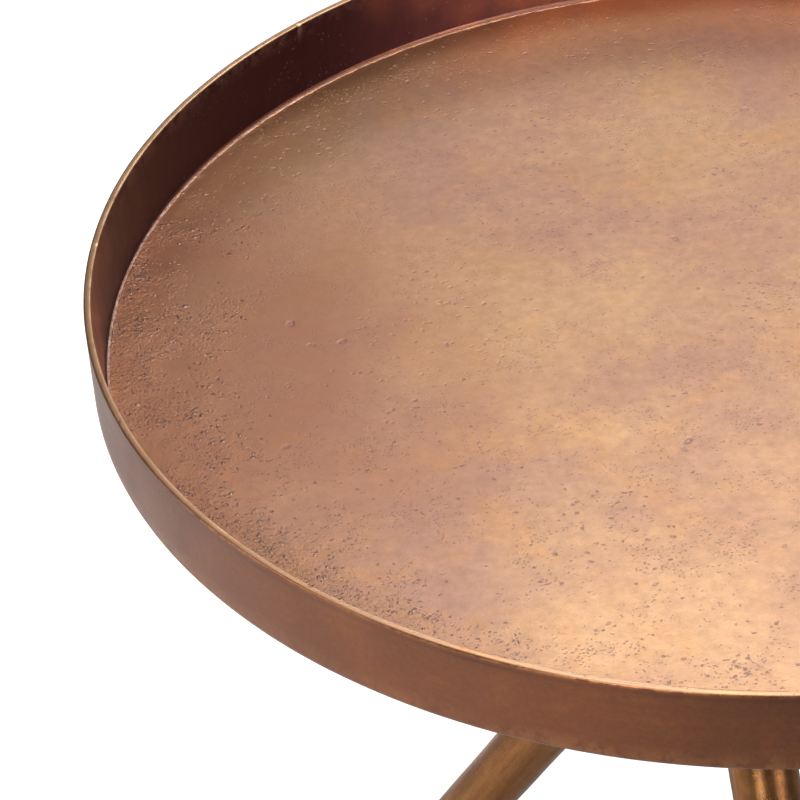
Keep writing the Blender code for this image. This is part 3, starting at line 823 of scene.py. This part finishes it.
# The legs pass each other two radii and a gap apart
LEG_OFFSET = (2.0 * leg_radius(CROSSING_Z) + GAP) * math.sqrt(1.0 + LEG_SLOPE ** 2 / 4.0) / math.sqrt(3.0)


def leg_centre(heading, height):
    run = LEG_SLOPE * (CROSSING_Z - height)
    return outward(heading) * run - sideways(heading) * LEG_OFFSET + Vector((0.0, 0.0, height))


def tie_pin_ends(heading, next_heading, spare=0.0):
    """The pin lies on the shortest line between two legs, half in each."""
    first = [leg_centre(heading, height) for height in (LEG_TOP_Z, LEG_FOOT_Z)]
    second = [leg_centre(next_heading, height) for height in (LEG_TOP_Z, LEG_FOOT_Z)]
    near, far = intersect_line_line(*first, *second)
    along = (far - near).normalized()
    touch = near + along * (leg_radius(near.z) + GAP / 2.0)
    half = along * (TIE_PIN["length"] / 2.0 + spare)
    return touch - half, touch + half


def leg_holes(name):
    """Bars that leave the holes for the leg's own screw, dowel and glide screw, and for its two tie pins."""
    tool = bmesh.new()
    for node, diameter in ((f"leg_screw_{name}", LEG_SCREW["shank"]), (f"leg_dowel_{name}", DOWEL_DIAMETER),
                           (f"glide_screw_{name}", GLIDE_SCREW["shank"])):
        low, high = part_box(node)
        flat = axis_of(node)
        add_bar(tool, Vector((flat.x, flat.y, low.z - GAP)), Vector((flat.x, flat.y, high.z + GAP)),
                diameter / 2.0 + GAP)
    names = list(LEG_HEADINGS)
    for first, second in zip(names, names[1:] + names[:1]):
        if name in (first, second):
            start, end = tie_pin_ends(LEG_HEADINGS[first], LEG_HEADINGS[second], GAP)
            add_bar(tool, start, end, TIE_PIN["diameter"] / 2.0 + GAP)
    return tool


def leg_heights():
    """Heights and shares of the full radius, from top to foot, with a soft edge at both ends."""
    edge = LEG_END_EDGE
    ends = [(LEG_TOP_Z - edge * drop, 1.0 - edge * inset / LEG_TOP_RADIUS)
            for drop, inset in ((0.0, 1.0), (0.3, 0.3), (1.0, 0.0))]
    rows = [(LEG_TOP_Z - edge - (LEG_TOP_Z - LEG_FOOT_Z - 2.0 * edge) * step / LEG_RINGS, 1.0)
            for step in range(1, LEG_RINGS + 1)]
    return ends + rows + [(LEG_FOOT_Z, 1.0 - edge / LEG_FOOT_RADIUS)]


def build_leg(name, heading):
    """A round bar that tapers to its foot and keeps level ends, with its holes and faint waves."""
    lean = math.sqrt(1.0 + LEG_SLOPE ** 2)
    bm = bmesh.new()
    made = bmesh.ops.create_circle(bm, cap_ends=True, segments=LEG_SIDES, radius=1.0)
    verts = made["verts"]
    spokes = [vert.co.copy() for vert in verts]
    edges = edges_between(verts)
    for row, (height, share) in enumerate(leg_heights()):
        if row:
            verts = [item for item in bmesh.ops.extrude_edge_only(bm, edges=edges)["geom"]
                     if isinstance(item, bmesh.types.BMVert)]
            edges = edges_between(verts)
        centre = leg_centre(heading, height)
        radius = leg_radius(height) * share
        for vert, spoke in zip(verts, spokes):
            vert.co = centre + (outward(heading) * spoke.x * lean + sideways(heading) * spoke.y) * radius
    bmesh.ops.edgeloop_fill(bm, edges=edges)
    bmesh.ops.recalc_face_normals(bm, faces=bm.faces[:])
    bm.normal_update()
    for vert in bm.verts:
        if LEG_FOOT_Z + 0.002 < vert.co.z < LEG_TOP_Z - 0.002:
            wave = noise.fractal(vert.co * 32.0, 1.0, 2.0, 3)
            vert.co -= vert.normal * abs(wave) * LEG_WAVE_HEIGHT
    bm = cut_out(bm, leg_holes(name))
    along = (leg_centre(heading, LEG_TOP_Z) - leg_centre(heading, LEG_FOOT_Z)).normalized()
    across = sideways(heading)
    facing = along.cross(across)
    lengthwise = bm.verts.layers.float_vector.new("lengthwise")
    for vert in bm.verts:
        offset = vert.co - leg_centre(heading, LEG_FOOT_Z)
        vert[lengthwise] = (offset.dot(across), offset.dot(facing), offset.dot(along))
    paint(bm, "wear", lambda place: 0.8 if min(place.z - LEG_FOOT_Z, LEG_TOP_Z - place.z) < 0.0004 else 0.0)
    add_piece(f"leg_bar_{name}", bm, [LEG_BRASS], [f"leg_{name}"])


# ---------------------------------------------------------------- plate and fasteners

SMALL_SIDES = 48
PAD_SIDES = 64
PLATE_SIDES = 192


def build_plate():
    low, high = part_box("mounting_plate")
    radius = high.x
    edge = PLATE_EDGE
    lower = arc((radius - edge, low.z + edge), edge, -90.0, 0.0, 4)
    upper = arc((radius - edge, high.z - edge), edge, 0.0, 90.0, 4)
    bm = spun([(0.0, low.z), (radius * 0.5, low.z), *lower, *upper, (radius * 0.5, high.z), (0.0, high.z)],
              PLATE_SIDES)
    bmesh.ops.recalc_face_normals(bm, faces=bm.faces[:])
    tool = bmesh.new()
    holes = [(node, PLATE_SCREW["shank"]) for node in PLATE_SCREWS]
    holes += [(f"leg_screw_{name}", LEG_SCREW["shank"]) for name in LEG_HEADINGS]
    holes += [(f"leg_dowel_{name}", DOWEL_DIAMETER) for name in LEG_HEADINGS]
    for node, diameter in holes:
        flat = axis_of(node)
        add_bar(tool, Vector((flat.x, flat.y, low.z - GAP)), Vector((flat.x, flat.y, high.z + GAP)),
                diameter / 2.0 + GAP, SMALL_SIDES)
    bm = cut_out(bm, tool)
    paint(bm, "wear", lambda place: 0.7 if place.to_2d().length > radius - edge * 1.1 else 0.0)
    add_piece("plate_disc", bm, [PLATE_STEEL], ["mounting_plate"])


def six_sided(across_flats):
    """Outline of a hexagon, as the radius at each angle."""
    def radius_at(angle):
        return across_flats / 2.0 / math.cos(angle % (math.pi / 3.0) - math.pi / 6.0)
    return radius_at


def build_screw(name, node, sizes, head_up):
    """A button-head screw with a six-sided socket. It is turned head-up at the origin, then put in place."""
    low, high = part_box(node)
    length = high.z - low.z
    head = sizes["head"] / 2.0
    tall = sizes["head_height"]
    shank = sizes["shank"] / 2.0
    key = sizes["key"]
    mouth = key / math.sqrt(3.0) * 1.06
    dome = [(head * (0.7 + 0.3 * across), tall * 0.75 * (rise - 1.0))
            for across, rise in arc((0.0, 0.0), 1.0, 90.0, 0.0, 8)]
    under = [(head, -tall * 0.97), (head * 0.985, -tall), (shank, -tall)]
    thread = [(shank, -length + shank * 0.25), (shank * 0.75, -length), (0.0, -length)]
    bm = spun([(mouth, 0.0), *dome, *under, *thread], SMALL_SIDES)
    ring = [edge for edge in bm.edges if edge.is_boundary]
    for outline, height in ((six_sided(key), -tall * 0.08), (six_sided(key), -tall * 0.55),
                            (key * 0.30, -tall * 0.62)):
        ring = extrude_ring(bm, ring, outline, height)
    bmesh.ops.edgeloop_fill(bm, edges=ring)
    bmesh.ops.recalc_face_normals(bm, faces=bm.faces[:])
    paint(bm, "wear", lambda place: 0.8 if place.z > -tall * 0.1 else 0.0)
    if not head_up:
        bmesh.ops.rotate(bm, verts=bm.verts, cent=(0.0, 0.0, 0.0), matrix=Matrix.Rotation(math.pi, 3, "X"))
    flat = axis_of(node)
    bmesh.ops.translate(bm, verts=bm.verts, vec=(flat.x, flat.y, high.z if head_up else low.z))
    add_piece(name, bm, [SCREW_STEEL], [node], 30.0)


def build_washer(name, node, bore):
    low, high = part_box(node)
    outside = (high.x - low.x) / 2.0
    inside = bore / 2.0 + GAP
    thick = high.z - low.z
    edge = WASHER_EDGE
    profile = [(inside, edge), (inside + edge, 0.0), (outside - edge, 0.0), (outside, edge),
               (outside, thick - edge), (outside - edge, thick),
               (inside + edge, thick), (inside, thick - edge)]
    bm = spun(profile, SMALL_SIDES, closed=True)
    bmesh.ops.recalc_face_normals(bm, faces=bm.faces[:])
    paint(bm, "wear", lambda place: 0.7 if place.to_2d().length > outside - edge * 0.5 else 0.0)
    flat = axis_of(node)
    bmesh.ops.translate(bm, verts=bm.verts, vec=(flat.x, flat.y, low.z))
    add_piece(name, bm, [SCREW_STEEL], [node], 30.0)


def build_foot_pad(name):
    """A round rubber pad with a counterbore for its screw."""
    node = f"foot_glide_{name}"
    low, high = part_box(node)
    radius = (high.x - low.x) / 2.0
    tall = high.z - low.z
    recess, depth, mouth = PAD_RECESS["radius"], PAD_RECESS["depth"], PAD_RECESS["edge"]
    bore = GLIDE_SCREW["shank"] / 2.0 + GAP
    profile = [(recess + mouth, 0.0), *arc((radius - PAD_EDGE, PAD_EDGE), PAD_EDGE, -90.0, 0.0, 5),
               *arc((radius - PAD_TOP_EDGE, tall - PAD_TOP_EDGE), PAD_TOP_EDGE, 0.0, 90.0, 3),
               (bore, tall), (bore, depth), (recess, depth), (recess, mouth)]
    bm = spun(profile, PAD_SIDES, closed=True)
    bmesh.ops.recalc_face_normals(bm, faces=bm.faces[:])
    paint(bm, "wear", lambda place: 0.6 if place.z < PAD_EDGE * 0.5 else 0.0)
    flat = axis_of(node)
    bmesh.ops.translate(bm, verts=bm.verts, vec=(flat.x, flat.y, low.z))
    add_piece(f"foot_pad_{name}", bm, [GLIDE_RUBBER], [node], 30.0)


def finish_hidden_pins():
    """The dowels and tie pins keep their plain shape, in plated steel."""
    for name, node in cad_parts.items():
        if name.startswith(("leg_dowel_", "tie_pin_")):
            node.data.materials.clear()
            node.data.materials.append(SCREW_STEEL)


build_tray()
build_plate()
for number, node in enumerate(PLATE_SCREWS, start=1):
    build_screw(f"plate_bolt_{number}", node, PLATE_SCREW, head_up=False)
    build_washer(f"plate_bolt_washer_{number}", f"plate_washer_{number}", PLATE_SCREW["shank"])
for name, heading in LEG_HEADINGS.items():
    build_leg(name, heading)
    build_screw(f"leg_bolt_{name}", f"leg_screw_{name}", LEG_SCREW, head_up=True)
    build_washer(f"leg_bolt_washer_{name}", f"leg_washer_{name}", LEG_SCREW["shank"])
    build_screw(f"foot_bolt_{name}", f"glide_screw_{name}", GLIDE_SCREW, head_up=False)
    build_foot_pad(name)
finish_hidden_pins()


# ---------------------------------------------------------------- studio

def add_floor():
    """White paper. The light it throws on the table falls off to one side, as beside a dark screen: painted
    shade in the colour that the table sees.
    """
    bm = bmesh.new()
    bmesh.ops.create_grid(bm, x_segments=2, y_segments=2, size=12.0)
    floor = add_object("studio_floor", bm)
    material, tree, shader = new_material("studio_paper", Base_Color=rgb(0.86, 0.86, 0.86), Roughness=0.9)
    camera_ray = add_node(tree, "ShaderNodeLightPath").outputs["Is Camera Ray"]
    place = add_node(tree, "ShaderNodeTexCoord").outputs["Object"]
    # Painted shade: to all but camera rays the paper greys off towards one side
    across = vector_maths(tree, "DOT_PRODUCT", place, around(70.0, 0.0, 1.0, Vector((0.0, 0.0, 0.0))))
    grey = remap(tree, across, -0.5, 0.5, 0.85, 0.30)
    dim = add_node(tree, "ShaderNodeBsdfDiffuse", {"Color": grey})
    glow = add_node(tree, "ShaderNodeEmission", {"Color": rgb(1.0, 1.0, 1.0), "Strength": 0.6})
    bright = add_node(tree, "ShaderNodeAddShader", {0: shader.outputs[0], 1: glow.outputs[0]})
    seen = add_node(tree, "ShaderNodeMixShader", {0: camera_ray, 1: dim.outputs[0], 2: bright.outputs[0]})
    below = add_node(tree, "ShaderNodeNewGeometry").outputs["Backfacing"]
    clear = add_node(tree, "ShaderNodeBsdfTransparent")
    through = add_node(tree, "ShaderNodeMixShader", {0: below, 1: seen.outputs[0], 2: clear.outputs[0]})
    tree.links.new(through.outputs[0], tree.nodes["Material Output"].inputs["Surface"])
    floor.data.materials.append(material)


def around(azimuth, elevation, distance, centre):
    """A point round the table, with azimuth 0 on the viewer's side, counted to the right."""
    turn = math.radians(VIEW_AZIMUTH + azimuth)
    rise = math.radians(elevation)
    back = Vector((math.sin(turn) * math.cos(rise), -math.cos(turn) * math.cos(rise), math.sin(rise)))
    return centre + back * distance


def add_softbox(name, azimuth, elevation, distance, size, power):
    centre = Vector((0.0, 0.0, FLOOR_Z))
    light = bpy.data.lights.new(name, "AREA")
    light.shape = "RECTANGLE"
    light.size, light.size_y = size
    light.energy = power
    lamp = bpy.data.objects.new(name, light)
    lamp.location = around(azimuth, elevation, distance, centre)
    lamp.rotation_euler = (centre - lamp.location).to_track_quat("-Z", "Y").to_euler()
    lamp.visible_camera = False
    bpy.context.scene.collection.objects.link(lamp)


def add_world(strength):
    world = bpy.data.worlds.new("studio_air")
    world.use_nodes = True
    world.node_tree.nodes["Background"].inputs["Color"].default_value = rgb(1.0, 1.0, 1.0)
    world.node_tree.nodes["Background"].inputs["Strength"].default_value = strength
    bpy.context.scene.world = world


def add_camera():
    camera = bpy.data.cameras.new("view")
    camera.lens = LENS
    camera.sensor_width = 36.0
    eye = bpy.data.objects.new("view", camera)
    place = around(0.0, VIEW_ELEVATION, VIEW_DISTANCE, VIEW_AIM)
    look = (VIEW_AIM - place).to_track_quat("-Z", "Y").to_matrix().to_4x4()
    eye.matrix_world = Matrix.Translation(place) @ look @ Matrix.Rotation(math.radians(VIEW_ROLL), 4, "Z")
    bpy.context.scene.collection.objects.link(eye)
    bpy.context.scene.camera = eye


add_floor()
add_world(0.15)
add_softbox("softbox_back", 158.0, 60.0, 1.27, (1.05, 0.72), 6.7)
add_softbox("softbox_low_back", 172.0, 22.0, 2.6, (1.6, 0.5), 4.0)
add_softbox("softbox_fill", 20.0, 62.0, 2.4, (1.4, 1.4), 8.0)
add_softbox("softbox_left", -80.0, 20.0, 2.2, (1.2, 1.4), 12.0)
add_softbox("strip_right", 50.0, 30.0, 2.0, (0.35, 1.2), 13.0)
add_softbox("softbox_overhead", 0.0, 85.0, 2.2, (1.6, 1.6), 12.5)
add_softbox("strip_front", -24.0, 32.0, 2.0, (0.22, 1.2), 13.0)
add_camera()
bpy.context.scene.view_settings.view_transform = "Standard"
